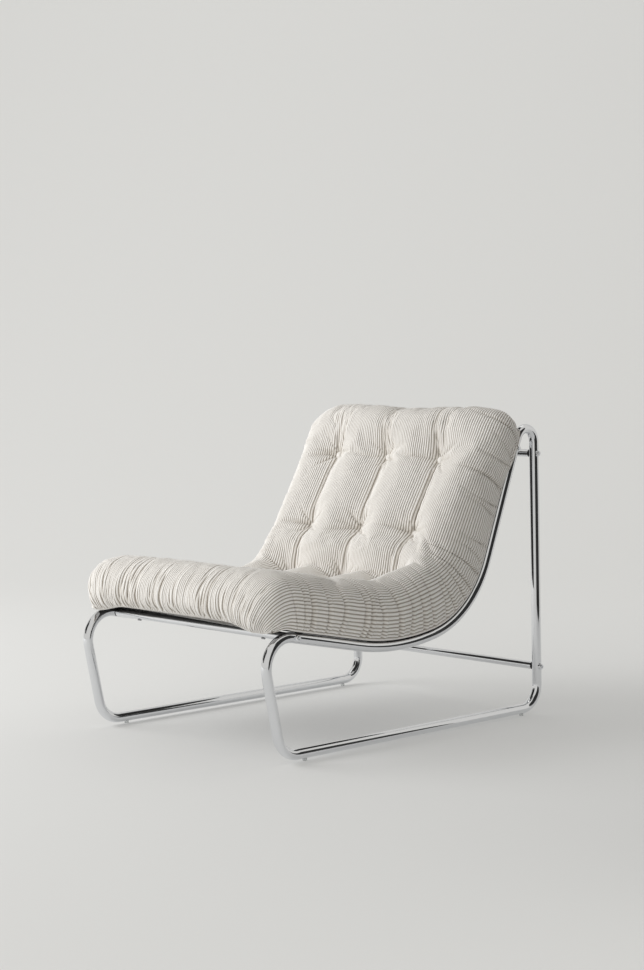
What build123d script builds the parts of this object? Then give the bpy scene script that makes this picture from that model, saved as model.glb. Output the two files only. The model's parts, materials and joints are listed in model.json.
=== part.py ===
from build123d import *
import math
import os

os.makedirs("parts", exist_ok=True)

# Lounge chair, facing -Y, standing on z = 0. Millimetres and degrees.

# Side loop, bent from one chromed tube
TUBE_D = 22.0
TUBE_WALL = 2.0
LOOP_SPACING = 577.0
KNEE_HEIGHT = 274.0
LEG_LEAN = 12.5
SEAT_SLOPE = 11.1
SEAT_STRAIGHT = 285.0
DIP_TURN = 22.4
BACK_TURN = 57.4
BACK_STRAIGHT = 290.0
UPRIGHT_LEAN = 1.6
KNEE_R = 59.0
FRONT_FOOT_R = 56.0
REAR_FOOT_R = 52.0
DIP_R = 600.0
BACK_R = 240.0
TOP_R = 31.5

# Cross tubes between the loops, the upper rear one measured up from the knee corner
CROSS_D = 18.0
CROSS_WALL = 1.5
FRONT_TUBE_SETBACK = 6.0
BACK_TUBE_DROP = 25.0
UPPER_TUBE_HEIGHT = 327.0
LOWER_TUBE_HEIGHT = 109.0

# Button head screws that hold the cross tubes, with their plugs, saddles and washers
SCREW_D = 8.0
SCREW_LENGTH = 46.0
HEAD_D = 14.0
HEAD_HEIGHT = 4.4
SOCKET_WIDTH = 5.0
SOCKET_DEPTH = 2.6
PLUG_LENGTH = 26.0
SADDLE_THICKNESS = 1.5
WASHER_THICKNESS = 0.8

# Glides under the runners
GLIDE_D = 9.5
GLIDE_HEIGHT = 5.0
GLIDE_EDGE_R = 1.5
GLIDE_STEM_D = 5.0
GLIDE_STEM_LENGTH = 8.0
FRONT_GLIDE_SETBACK = 22.0
REAR_GLIDE_SETBACK = 4.0

# Bent plywood shell on the rails, with its screws and spacers
SHELL_THICKNESS = 6.0
SHELL_OVERLAP = 1.5
SHELL_INSET = 40.0
SHELL_SCREW_D = 5.0
SHELL_SCREW_HEAD_D = 9.0
SHELL_SCREW_HEAD_HEIGHT = 2.8
SHELL_SCREW_BITE = 4.5
SHELL_SCREW_SPACING = 400.0
SPACER_D = 12.0

# Cushion, from the knee corner to an overhang past the rail's end
CUSHION_FRONT = 4.0
CUSHION_OVERHANG = 54.0
CUSHION_WIDTH = 586.0
CUSHION_HEIGHT = 106.0
BEND_FILL = 44.0
BEND_FILL_REACH = 320.0
BEND_FILL_SHIFT = 40.0
SIDE_BULGE = 15.0
SHOULDER_INSET = 22.0
END_FACE = 16.0
BOTTOM_EDGE_R = 28.0
CORNER_R = 32.0
CREASE_DEPTH = 15.0
END_CREASE = 5.0
TUFT_DEPTH = 26.0
ROW_SINK = 8.0
BEND_ROW_LIFT = 19.0
TUFT_ROWS = 5
TUFT_FIRST = 229.0
TUFT_LAST = 143.0
TUFT_COLUMN = 162.0

# Foam core, buttons and twines inside and on the cushion
COVER_BOTTOM = 6.0
COVER_TOP = 7.0
FOAM_MARGIN = 26.0
FOAM_END_MARGIN = 50.0
BUTTON_D = 14.0
BUTTON_HEIGHT = 6.0
BUTTON_EDGE_R = 3.0
BUTTON_POCKET = 3.0
BACK_BUTTON_D = 18.0
BACK_BUTTON_HEIGHT = 3.0
TWINE_D = 1.6

# Clearances
SEAT_GAP = 0.3
SLIDE_GAP = 0.1
HOLE_GAP = 0.2

# Shares of the cushion's height, the strip trimmed off its base, and the steps that round its ends
SIDE_SHARE = 0.42
SHOULDER_SHARE = 0.8
BASE_TRIM = 4.0
END_STEPS = 4

TUBE_R = TUBE_D / 2
CROSS_R = CROSS_D / 2
LOOP_X = LOOP_SPACING / 2
RUNNER_HEIGHT = GLIDE_HEIGHT + TUBE_R
SIDES = {"left": 1, "right": -1}
UP = (Align.CENTER, Align.CENTER, Align.MIN)
DOWN = (Align.CENTER, Align.CENTER, Align.MAX)


def polar(length, angle):
    return Vector(length * math.cos(math.radians(angle)), length * math.sin(math.radians(angle)))


def bend_reach(radius, turn):
    """Length that a bend takes from each side of its corner."""
    return radius * math.tan(math.radians(turn / 2))


# Directions of the loop's straights, and lengths along the rail from the knee corner
LEG_ANGLE = 90 + LEG_LEAN
BACK_ANGLE = DIP_TURN + BACK_TURN - SEAT_SLOPE
UPRIGHT_ANGLE = UPRIGHT_LEAN - 90
KNEE_TURN = LEG_ANGLE + SEAT_SLOPE
KNEE_REACH = bend_reach(KNEE_R, KNEE_TURN)
KNEE_CORNER = Vector(0, KNEE_HEIGHT)
BACK_START = SEAT_STRAIGHT + DIP_R * math.radians(DIP_TURN)
STRAIGHT_START = BACK_START + BACK_R * math.radians(BACK_TURN)
RAIL_END = STRAIGHT_START + BACK_STRAIGHT
FILL_PLACE = (BACK_START + STRAIGHT_START) / 2 + BEND_FILL_SHIFT
CUSHION_END = RAIL_END + CUSHION_OVERHANG
FIRST_ROW = CUSHION_FRONT + TUFT_FIRST
TUFT_PITCH = (CUSHION_END - TUFT_LAST - FIRST_ROW) / (TUFT_ROWS - 1)
BEND_ROW = FIRST_ROW + TUFT_PITCH * math.ceil((FILL_PLACE - FIRST_ROW) / TUFT_PITCH)
TOP_EDGE_R = CUSHION_HEIGHT + BASE_TRIM - BOTTOM_EDGE_R - END_FACE

# Heights above the rail's axis
SHELL_LOW = TUBE_R + SEAT_GAP
SHELL_HIGH = SHELL_LOW + SHELL_THICKNESS
CUSHION_LOW = SHELL_HIGH + SEAT_GAP
FOAM_LOW = CUSHION_LOW + COVER_BOTTOM
TUFT_HEIGHT = CUSHION_LOW + CUSHION_HEIGHT - ROW_SINK - TUFT_DEPTH
POCKET_HEIGHT = TUFT_HEIGHT - BUTTON_POCKET
BUTTON_SEAT = POCKET_HEIGHT + SEAT_GAP
FOAM_HIGH = POCKET_HEIGHT - COVER_TOP


def support_line(rise, start, end):
    """Edges of the seat and back line in (depth, height), rise above the rail's axis."""
    first = KNEE_CORNER + polar(start, -SEAT_SLOPE) + polar(rise, 90 - SEAT_SLOPE)
    seat = PolarLine(first, SEAT_STRAIGHT - start, angle=-SEAT_SLOPE)
    dip = JernArc(seat @ 1, seat % 1, DIP_R - rise, DIP_TURN)
    back = JernArc(dip @ 1, dip % 1, BACK_R - rise, BACK_TURN)
    straight = PolarLine(back @ 1, end - STRAIGHT_START, angle=BACK_ANGLE)
    return [seat, dip, back, straight]


def loop_edges():
    """Edges of the closed side loop: rail, top bend, upright, runner and leg."""
    rail = support_line(0, KNEE_REACH, RAIL_END)
    top = JernArc(rail[-1] @ 1, rail[-1] % 1, TOP_R, UPRIGHT_ANGLE - BACK_ANGLE)
    rear_turn = 180 + UPRIGHT_ANGLE
    drop = ((top @ 1).Y - RUNNER_HEIGHT) / math.cos(math.radians(UPRIGHT_LEAN))
    upright = PolarLine(top @ 1, drop - bend_reach(REAR_FOOT_R, rear_turn), angle=UPRIGHT_ANGLE)
    rear_foot = JernArc(upright @ 1, upright % 1, REAR_FOOT_R, -rear_turn)
    front_turn = 180 - LEG_ANGLE
    front_corner = (KNEE_HEIGHT - RUNNER_HEIGHT) * math.tan(math.radians(LEG_LEAN))
    runner_end = Vector(front_corner + bend_reach(FRONT_FOOT_R, front_turn), RUNNER_HEIGHT)
    runner = Line(rear_foot @ 1, runner_end)
    front_foot = JernArc(runner @ 1, runner % 1, FRONT_FOOT_R, -front_turn)
    leg = Line(front_foot @ 1, KNEE_CORNER - polar(KNEE_REACH, LEG_ANGLE))
    knee = JernArc(leg @ 1, leg % 1, KNEE_R, -KNEE_TURN)
    return {"rail": rail, "top": top, "upright": upright, "runner": runner,
            "all": [runner, front_foot, leg, knee, *rail, top, upright, rear_foot]}


LOOP = loop_edges()
LOOP_BOX = Wire(LOOP["all"]).bounding_box()
MIDDLE = (LOOP_BOX.min.X + LOOP_BOX.max.X) / 2
PROFILE = Plane((0, -MIDDLE, 0), x_dir=(0, 1, 0), z_dir=(1, 0, 0))
GUIDE = PROFILE.location * Wire(support_line(0, 0, CUSHION_END))


def station(length, x=0.0):
    """Plane across the rail: X to the left side, Y away from the rail, origin on its axis."""
    centre = GUIDE.position_at(length, position_mode=PositionMode.LENGTH)
    along = GUIDE.tangent_at(length, position_mode=PositionMode.LENGTH)
    return Plane(centre + Vector(x, 0, 0), x_dir=(1, 0, 0), z_dir=-along)


def riser(length, x, rise):
    """Plane at a rise above the rail, with Z away from the rail."""
    across = station(length, x)
    return Plane(across.origin + across.y_dir * rise, x_dir=(1, 0, 0), z_dir=across.y_dir)


def upright_point(height):
    """Point on the upright, or on the top bend above it, at a height."""
    corner = LOOP["upright"] @ 0
    depth = corner.X + (corner.Y - height) * math.tan(math.radians(UPRIGHT_LEAN))
    if height > corner.Y:
        centre = LOOP["top"].arc_center
        depth = centre.X + math.sqrt(TOP_R ** 2 - (height - centre.Y) ** 2)
    return Vector(0, depth - MIDDLE, height)


FRONT_TUBE_PLACE = KNEE_REACH + FRONT_TUBE_SETBACK
BACK_TUBE_PLACE = RAIL_END - BACK_TUBE_DROP
CROSS_AXES = {
    "front": station(FRONT_TUBE_PLACE).origin,
    "back": station(BACK_TUBE_PLACE).origin,
    "upper_rear": upright_point(KNEE_HEIGHT + UPPER_TUBE_HEIGHT),
    "lower_rear": upright_point(LOWER_TUBE_HEIGHT),
}
CROSS_END = LOOP_X - TUBE_R - SADDLE_THICKNESS
HEAD_SEAT = LOOP_X + TUBE_R + WASHER_THICKNESS


def outward(axis, side, x):
    """Plane on a cross tube's axis at x, with Z pointing out of the chair."""
    return Plane((side * x, axis.Y, axis.Z), z_dir=(side, 0, 0))


def rod(plane, radius, length):
    return plane * Cylinder(radius, length, align=UP)


def swept(radius):
    """Solid bar along the loop's path, in the chair's middle plane."""
    path = PROFILE.location * Wire(LOOP["all"])
    return sweep(Plane(path @ 0, z_dir=path % 0) * Circle(radius), path=path)


LOOP_BAR = swept(TUBE_R)
LOOP_BORE = swept(TUBE_R - TUBE_WALL)
LOOP_CLEARANCE = swept(TUBE_R + SLIDE_GAP)


def at_side(shape, side):
    return Pos(side * LOOP_X, 0, 0) * shape


def glide_points():
    """Depths of the front and rear glides on a runner."""
    runner = LOOP["runner"]
    front = (runner @ 1).X + FRONT_GLIDE_SETBACK
    rear = (runner @ 0).X - REAR_GLIDE_SETBACK
    return {"front": front - MIDDLE, "rear": rear - MIDDLE}


def side_frame(side):
    frame = at_side(LOOP_BAR - LOOP_BORE, side)
    hole_r = SCREW_D / 2 + HOLE_GAP
    for axis in CROSS_AXES.values():
        frame -= rod(outward(axis, side, LOOP_X - TUBE_D), hole_r, 2 * TUBE_D)
    for depth in glide_points().values():
        frame -= rod(Plane((side * LOOP_X, depth, 0)), GLIDE_STEM_D / 2 + HOLE_GAP, RUNNER_HEIGHT)
    return frame


def glide(side, depth):
    floor = Plane((side * LOOP_X, depth, 0))
    pad = Cylinder(GLIDE_D / 2, RUNNER_HEIGHT, align=UP)
    pad = fillet(pad.edges().sort_by(Axis.Z)[0], GLIDE_EDGE_R)
    pad = floor * pad - at_side(LOOP_CLEARANCE, side)
    return pad + rod(floor, GLIDE_STEM_D / 2, GLIDE_HEIGHT + GLIDE_STEM_LENGTH)


def shell_screw_planes():
    """Planes on the front and back cross tubes' axes, with Z towards the shell."""
    places = (FRONT_TUBE_PLACE, BACK_TUBE_PLACE)
    return [riser(s, side * SHELL_SCREW_SPACING / 2, 0) for s in places for side in SIDES.values()]


def cross_tube(axis):
    start = outward(axis, 1, -CROSS_END)
    tube = rod(start, CROSS_R, 2 * CROSS_END) - rod(start, CROSS_R - CROSS_WALL, 2 * CROSS_END)
    for plane in shell_screw_planes():
        hole = Cylinder(SHELL_SCREW_D / 2 + HOLE_GAP, 2 * CROSS_D)
        if (Vector(0, plane.origin.Y, plane.origin.Z) - axis).length < CROSS_R:
            tube -= plane * hole
    return tube


def tube_plug(axis, side):
    start = outward(axis, side, CROSS_END - PLUG_LENGTH)
    body = rod(start, CROSS_R - CROSS_WALL - SLIDE_GAP, PLUG_LENGTH)
    return body - rod(start, SCREW_D / 2 + SLIDE_GAP, PLUG_LENGTH)


def tube_saddle(axis, side):
    start = outward(axis, side, CROSS_END)
    length = LOOP_X - CROSS_END
    block = rod(start, CROSS_R, length) - rod(start, SCREW_D / 2 + HOLE_GAP, length)
    return block - at_side(LOOP_CLEARANCE, side)


def screw_washer(axis, side):
    start = outward(axis, side, LOOP_X)
    length = HEAD_SEAT - LOOP_X
    ring = rod(start, HEAD_D / 2, length) - rod(start, SCREW_D / 2 + HOLE_GAP, length)
    return ring - at_side(LOOP_CLEARANCE, side)


def frame_screw(axis, side):
    head = Cylinder(HEAD_D / 2, HEAD_HEIGHT, align=UP)
    head = fillet(head.edges().sort_by(Axis.Z)[-1], HEAD_HEIGHT * 3 / 4)
    socket = extrude(RegularPolygon(SOCKET_WIDTH / 2, 6, major_radius=False), SOCKET_DEPTH)
    head -= Pos(0, 0, HEAD_HEIGHT - SOCKET_DEPTH) * socket
    return outward(axis, side, HEAD_SEAT) * (head + Cylinder(SCREW_D / 2, SCREW_LENGTH, align=DOWN))


def ribbon(low, high, start, end, half_width):
    """Slab between two rises above the rail, following the seat and back line."""
    lower = Wire(support_line(low, start, end))
    upper = Wire(support_line(high, start, end))
    ends = [Line(lower @ 0, upper @ 0), Line(lower @ 1, upper @ 1)]
    outline = make_face([*lower.edges(), *upper.edges(), *ends])
    return extrude(PROFILE.location * outline, half_width, both=True)


def bend_fill(length):
    """Extra padding at a length along the rail, fullest just above the bend of seat and back."""
    share = max(0.0, 1 - abs(length - FILL_PLACE) / BEND_FILL_REACH)
    return BEND_FILL * share ** 2 * (3 - 2 * share)


def tuft_lift(length):
    """Rise of a tuft above the others: only the first row above the bend sits higher."""
    return BEND_ROW_LIFT * max(0.0, 1 - abs(length - BEND_ROW) / TUFT_PITCH)


def button_seat(length):
    return BUTTON_SEAT + tuft_lift(length)


def tuft_places():
    rows = [FIRST_ROW + TUFT_PITCH * k for k in range(TUFT_ROWS)]
    return [(row, TUFT_COLUMN * k) for row in rows for k in (-1, 0, 1)]


def twine_rods(radius, low, high):
    """Rods on the tufts' lines between two rises above the rail."""
    return [rod(riser(s, x, low), radius, high - low) for s, x in tuft_places()]


def tuft_rods(radius, low):
    """Rods on the tufts' lines, from a rise up to the seats of the buttons."""
    return [rod(riser(s, x, low), radius, button_seat(s) - low) for s, x in tuft_places()]


def button_pockets(radius):
    """Rods on the tufts' lines, from the floors of the buttons' pockets up past the crown."""
    height = CUSHION_LOW + CUSHION_HEIGHT + BEND_FILL - POCKET_HEIGHT
    return [rod(riser(s, x, POCKET_HEIGHT + tuft_lift(s)), radius, height) for s, x in tuft_places()]


def seat_shell():
    shell = ribbon(SHELL_LOW, SHELL_HIGH, CUSHION_FRONT + SHELL_INSET, CUSHION_END - SHELL_INSET,
                   LOOP_X + SHELL_OVERLAP)
    for plane in shell_screw_planes():
        shell -= rod(plane, SHELL_SCREW_D / 2 + SLIDE_GAP, SHELL_LOW + SHELL_SCREW_BITE + SEAT_GAP)
    return shell - twine_rods(TWINE_D / 2 + HOLE_GAP, SHELL_LOW - SHELL_THICKNESS, CUSHION_LOW)


def shell_screw(plane):
    head = Cylinder(SHELL_SCREW_HEAD_D / 2, SHELL_SCREW_HEAD_HEIGHT, align=DOWN)
    head = fillet(head.edges().sort_by(Axis.Z)[0], SHELL_SCREW_HEAD_HEIGHT / 2)
    shank = Cylinder(SHELL_SCREW_D / 2, CROSS_R + SHELL_LOW + SHELL_SCREW_BITE, align=UP)
    return plane.offset(-CROSS_R) * (head + shank)


def shell_spacer(plane):
    bore = Cylinder(SHELL_SCREW_D / 2 + HOLE_GAP, SHELL_LOW, align=UP)
    tube = Rotation(0, 90, 0) * Cylinder(CROSS_R + SLIDE_GAP, 2 * SPACER_D)
    return plane * (Cylinder(SPACER_D / 2, SHELL_LOW, align=UP) - bore - tube)


def edge_drop(distance, radius):
    """How far a rounded edge has drawn in at a distance from its end."""
    if distance >= radius:
        return 0.0
    return radius - math.sqrt(radius ** 2 - (radius - distance) ** 2)


def cushion_section(length, sink, depth):
    """Cross-section of the cushion: flat base, bulging sides and four puffs between creases."""
    from_end = min(length - CUSHION_FRONT, CUSHION_END - length)
    low = CUSHION_LOW - BASE_TRIM + edge_drop(from_end, BOTTOM_EDGE_R)
    drop = edge_drop(from_end, TOP_EDGE_R)
    high = CUSHION_LOW + CUSHION_HEIGHT + bend_fill(length) - drop - sink
    half = CUSHION_WIDTH / 2 - edge_drop(from_end, CORNER_R)
    height = high - low
    shoulder = Vector(half - SHOULDER_INSET, low + SHOULDER_SHARE * height)
    bulge = Vector(half + SIDE_BULGE * (1 - drop / CUSHION_HEIGHT), low + SIDE_SHARE * height)
    crease = Vector(TUFT_COLUMN, high - depth)
    middle = Vector(0, high - depth)
    outer_puff = Vector((shoulder.X + crease.X) / 2, high)
    inner_puff = Vector(TUFT_COLUMN / 2, high)
    arcs = [(Vector(half, low), bulge, shoulder), (shoulder, outer_puff, crease),
            (crease, inner_puff, middle)]
    mirrored = [tuple(Vector(-p.X, p.Y) for p in arc[::-1]) for arc in arcs[::-1]]
    edges = [ThreePointArc(*arc) for arc in arcs + mirrored]
    edges.append(Line((-half, low), (half, low)))
    return station(length) * make_face(edges)


def cushion_form():
    """Loft over each tuft row and the puffs between them, trimmed flat where it lies on the shell."""
    steps = [TOP_EDGE_R * (1 - math.cos(math.pi / 2 * k / END_STEPS)) for k in range(END_STEPS + 1)]
    front = [cushion_section(CUSHION_FRONT + step, 0, END_CREASE) for step in steps]
    top = [cushion_section(CUSHION_END - step, 0, END_CREASE) for step in reversed(steps)]
    rows = []
    for k in range(2 * TUFT_ROWS - 1):
        length = FIRST_ROW + TUFT_PITCH * k / 2
        tuft = TUFT_DEPTH + bend_fill(length) - tuft_lift(length)
        sink, depth = (0, CREASE_DEPTH) if k % 2 else (ROW_SINK, tuft)
        rows.append(cushion_section(length, sink, depth))
    below = ribbon(SHELL_LOW, CUSHION_LOW, 0, CUSHION_END, CUSHION_WIDTH)
    return loft([*front, *rows, *top]) - below


def foam_block(gap):
    return ribbon(FOAM_LOW - gap, FOAM_HIGH + gap, CUSHION_FRONT + FOAM_END_MARGIN - gap,
                  CUSHION_END - FOAM_END_MARGIN + gap, CUSHION_WIDTH / 2 - FOAM_MARGIN + gap)


def cushion_cover():
    cover = cushion_form() - foam_block(SEAT_GAP)
    cover -= button_pockets(BUTTON_D / 2 + SEAT_GAP)
    return cover - tuft_rods(TWINE_D / 2 + HOLE_GAP, SHELL_HIGH)


def tuft_button(length, x):
    button = Cylinder(BUTTON_D / 2, BUTTON_HEIGHT, align=UP)
    button = fillet(button.edges().sort_by(Axis.Z)[-1], BUTTON_EDGE_R)
    return riser(length, x, button_seat(length)) * button


def save(name, *solids):
    shape = solids[0] if len(solids) == 1 else Compound(list(solids))
    export_step(shape, f"parts/{name}.step")


def save_frame():
    for name, side in SIDES.items():
        save(f"side_frame_{name}", side_frame(side))
        for end, depth in glide_points().items():
            save(f"{end}_glide_{name}", glide(side, depth))


def save_cross_tubes():
    joints = [(axis, side) for axis in CROSS_AXES.values() for side in SIDES.values()]
    for place, axis in CROSS_AXES.items():
        save(f"{place}_cross_tube", cross_tube(axis))
        for name, side in SIDES.items():
            save(f"{place}_tube_plug_{name}", tube_plug(axis, side))
            save(f"{place}_tube_saddle_{name}", tube_saddle(axis, side))
    save("frame_screws", *[frame_screw(*joint) for joint in joints])
    save("screw_washers", *[screw_washer(*joint) for joint in joints])


def save_shell():
    save("seat_shell", seat_shell())
    save("shell_screws", *[shell_screw(plane) for plane in shell_screw_planes()])
    save("shell_spacers", *[shell_spacer(plane) for plane in shell_screw_planes()])


def save_cushion():
    save("cushion_cover", cushion_cover())
    save("foam_core", foam_block(0) - tuft_rods(TWINE_D / 2 + HOLE_GAP, SHELL_HIGH))
    save("tuft_buttons", *[tuft_button(*place) for place in tuft_places()])
    save("tuft_twines", *tuft_rods(TWINE_D / 2, SHELL_LOW))
    save("back_buttons", *twine_rods(BACK_BUTTON_D / 2, SHELL_LOW - BACK_BUTTON_HEIGHT, SHELL_LOW))


save_frame()
save_cross_tubes()
save_shell()
save_cushion()
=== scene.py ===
# %% [markdown]
# # A tufted lounge chair on chromed loops
# The chair is two closed loops of chromed tube, four cross tubes, a bent black plywood shell on the
# rails, and one long corduroy cushion that is both seat and back. Everything stiff comes from the CAD
# model. This lesson gives each surface its finish and makes the soft cushion: it is drawn as a fitted
# sheet, puffed up with a cloth simulation, and then gets its folds and its wales.

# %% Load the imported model
import json
import math

import bpy
import numpy as np
from mathutils import Matrix, Vector


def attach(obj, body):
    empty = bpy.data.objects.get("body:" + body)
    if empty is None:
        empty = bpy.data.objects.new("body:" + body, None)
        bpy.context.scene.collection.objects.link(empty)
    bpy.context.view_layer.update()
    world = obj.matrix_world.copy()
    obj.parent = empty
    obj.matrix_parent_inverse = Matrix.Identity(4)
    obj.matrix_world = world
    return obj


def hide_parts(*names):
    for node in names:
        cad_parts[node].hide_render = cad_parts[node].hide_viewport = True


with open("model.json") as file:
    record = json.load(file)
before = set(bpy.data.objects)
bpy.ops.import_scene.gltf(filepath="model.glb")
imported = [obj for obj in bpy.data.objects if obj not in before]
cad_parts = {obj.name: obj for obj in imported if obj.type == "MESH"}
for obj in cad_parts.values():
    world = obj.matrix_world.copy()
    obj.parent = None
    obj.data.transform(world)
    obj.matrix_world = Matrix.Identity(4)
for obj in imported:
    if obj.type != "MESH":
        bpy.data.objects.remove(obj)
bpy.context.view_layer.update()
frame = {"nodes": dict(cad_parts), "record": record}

# %% [markdown]
# ## The camera
# The photograph was taken from the front left of the sitter, a little above the seat. A camera with a
# long lens, placed where the loops' outlines line up, gives the same view. The lens follows from the
# focal length in pixels and the height of the picture.

# %% Place the camera
PICTURE_HEIGHT = 970
FOCAL_PIXELS = 1927.56
SENSOR_WIDTH = 36.0
CAMERA_PLACE = (3.0832, -3.0250, 0.8227)
CAMERA_YAW = math.radians(45.399)
CAMERA_PITCH = math.radians(3.8098)
CAMERA_ROLL = math.radians(-0.1537)


def photo_camera():
    """Camera that looks along +Y, tipped by the roll and the pitch and then turned by the yaw."""
    data = bpy.data.cameras.new("photo_camera")
    data.sensor_width = SENSOR_WIDTH
    data.lens = FOCAL_PIXELS * SENSOR_WIDTH / PICTURE_HEIGHT
    camera = bpy.data.objects.new("photo_camera", data)
    tip = Matrix.Rotation(math.pi / 2 - CAMERA_PITCH, 4, "X") @ Matrix.Rotation(CAMERA_ROLL, 4, "Z")
    camera.matrix_world = Matrix.Translation(CAMERA_PLACE) @ Matrix.Rotation(CAMERA_YAW, 4, "Z") @ tip
    bpy.context.collection.objects.link(camera)
    return camera


bpy.context.scene.camera = photo_camera()
bpy.context.scene.view_settings.view_transform = "Standard"
print("lens", round(bpy.context.scene.camera.data.lens, 2), "mm")

# %% [markdown]
# ## Writing shaders as sums
# A material is a small graph of nodes. Wrapping a socket in a class with + * and ** lets the graph be
# written as ordinary sums: each operator adds one Math node. The reflected forms let a plain number
# stand first, as in 0.3 + 0.2 * spots.


# %% A socket that does sums
class Value:
    """A socket that can be added, multiplied and raised to a power, each by a Math node."""

    def __init__(self, socket):
        self.socket = socket

    def math(self, operation, other):
        """Math node of this value and a number or another value."""
        tree = self.socket.id_data
        node = tree.nodes.new("ShaderNodeMath")
        node.operation = operation
        tree.links.new(self.socket, node.inputs[0])
        if isinstance(other, Value):
            tree.links.new(other.socket, node.inputs[1])
        else:
            node.inputs[1].default_value = other
        return Value(node.outputs[0])

    def __add__(self, other):
        return self.math("ADD", other)

    def __mul__(self, other):
        return self.math("MULTIPLY", other)

    def __pow__(self, power):
        return self.math("POWER", power)

    __radd__ = __add__
    __rmul__ = __mul__


print("sums ready")

# %% [markdown]
# ## One class for a finish
# Every finish here is one Principled shader. Its fixed inputs are set by name. Whatever changes over the
# surface comes from nodes, and every node but the Math nodes comes from one method that takes its type,
# its settings and what goes into its sockets.


# %% The finish class
def set_stops(stops, wanted):
    """Give a colour ramp as many stops as wanted, each at its place and in its colour."""
    while len(stops) < len(wanted):
        stops.new(1.0)
    for stop, (position, colour) in zip(stops, wanted):
        stop.position = position
        stop.color = (*colour, 1.0)


class Finish:
    """A material with one Principled shader, to which nodes are added one at a time."""

    def __init__(self, name, **constants):
        self.material = bpy.data.materials.new(name)
        self.material.use_nodes = True
        self.tree = self.material.node_tree
        self.shader = self.tree.nodes["Principled BSDF"]
        self.drive(**constants)

    def node(self, kind, settings=None, sockets=None, output=0):
        """New node: settings first, a ramp's stops among them, then its sockets' values or links."""
        node = self.tree.nodes.new(kind)
        for name, value in (settings or {}).items():
            if name == "stops":
                set_stops(node.color_ramp.elements, value)
            else:
                setattr(node, name, value)
        for name, value in (sockets or {}).items():
            self.feed(node.inputs[name], value)
        return Value(node.outputs[output])

    def feed(self, socket, value):
        """Link a value into a socket, or set the socket to a number or colour."""
        if isinstance(value, Value):
            self.tree.links.new(value.socket, socket)
        else:
            socket.default_value = value

    def drive(self, **sockets):
        """Feed the shader's own sockets, with _ for the spaces in their names."""
        for name, value in sockets.items():
            self.feed(self.shader.inputs[name.replace("_", " ")], value)

    def noise(self, scale, detail, stretch=(1.0, 1.0, 1.0)):
        """Noise from 0 to 1 on Object coordinates, stretched by axis."""
        source = self.node("ShaderNodeTexCoord", output="Object")
        mapped = self.node("ShaderNodeMapping", sockets={"Vector": source, "Scale": stretch})
        return self.node("ShaderNodeTexNoise", sockets={"Vector": mapped, "Scale": scale, "Detail": detail})

    def bump(self, height, distance):
        """Normal from a height, for the surface's finest relief."""
        return self.node("ShaderNodeBump", sockets={"Height": height, "Distance": distance})

    def ramp(self, value, *stops):
        """Colour that runs through the stops as the value goes from 0 to 1."""
        return self.node("ShaderNodeValToRGB", {"stops": stops}, {"Fac": value})


print("finish class ready")

# %% [markdown]
# ## Chrome, zinc, plastic and plywood
# Chrome plate is a mirror with a faint haze where hands and cloths have been, so its roughness changes a
# little over the tube. The plywood is stained black, and its grain still shows as fine streaks along the
# bend. The glides are clear plastic, and the saddles are moulded black plastic.

# %% Hard finishes
CHROME_TINT = (0.80, 0.81, 0.83, 1.0)
ZINC_STOPS = ((0.3, (0.36, 0.36, 0.37)), (0.7, (0.52, 0.52, 0.53)))
PLASTIC_BLACK = (0.014, 0.014, 0.015, 1.0)
GLIDE_CLEAR = (0.72, 0.74, 0.74, 1.0)
STAIN_STOPS = ((0.3, (0.008, 0.007, 0.007)), (0.75, (0.028, 0.025, 0.023)))


def chrome():
    """Mirror plate: near-white metal, with wiped haze in its roughness and a very faint wave."""
    finish = Finish("chrome_plate", Base_Color=CHROME_TINT, Metallic=1.0)
    haze = finish.noise(scale=38.0, detail=4.0)
    wave = finish.noise(scale=9.0, detail=1.0)
    finish.drive(Roughness=0.035 + 0.05 * haze ** 2.0)
    finish.drive(Normal=finish.bump(wave, distance=0.0004))
    return finish.material


def zinc():
    """Dull plated steel: grey metal with a mottled roughness."""
    finish = Finish("zinc_plate", Metallic=1.0)
    spots = finish.noise(scale=220.0, detail=3.0)
    finish.drive(Base_Color=finish.ramp(spots, *ZINC_STOPS))
    finish.drive(Roughness=0.3 + 0.2 * spots)
    return finish.material


def black_plastic():
    """Moulded plastic with a fine spark-eroded grain."""
    finish = Finish("moulded_black", Base_Color=PLASTIC_BLACK)
    grain = finish.noise(scale=1800.0, detail=2.0)
    finish.drive(Roughness=0.38 + 0.2 * grain)
    finish.drive(Normal=finish.bump(grain, distance=0.00008))
    return finish.material


def clear_plastic():
    """Clear glide: mostly see-through, with a scuffed base."""
    finish = Finish("clear_glide", Base_Color=GLIDE_CLEAR, Transmission_Weight=0.75, IOR=1.49)
    finish.drive(Roughness=0.12 + 0.25 * finish.noise(scale=400.0, detail=3.0))
    return finish.material


def black_plywood():
    """Black stain on veneer: long dark streaks along the bend, under a satin coat."""
    finish = Finish("stained_plywood", Specular_IOR_Level=0.35)
    streaks = finish.noise(scale=60.0, detail=5.0, stretch=(14.0, 1.0, 1.0))
    finish.drive(Base_Color=finish.ramp(streaks, *STAIN_STOPS))
    finish.drive(Roughness=0.42 + 0.25 * streaks)
    finish.drive(Normal=finish.bump(streaks, distance=0.00015))
    return finish.material


HARD_FINISHES = {
    "chrome": chrome(),
    "zinc_steel": zinc(),
    "black_plastic": black_plastic(),
    "clear_plastic": clear_plastic(),
    "black_plywood": black_plywood(),
}
hard_parts = [part for part in frame["record"]["subparts"] if part["material_slot"] in HARD_FINISHES]
for part in hard_parts:
    for slot in frame["nodes"][part["node"]].material_slots:
        slot.material = HARD_FINISHES[part["material_slot"]]
print("hard finishes on", len(hard_parts), "nodes")

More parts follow.
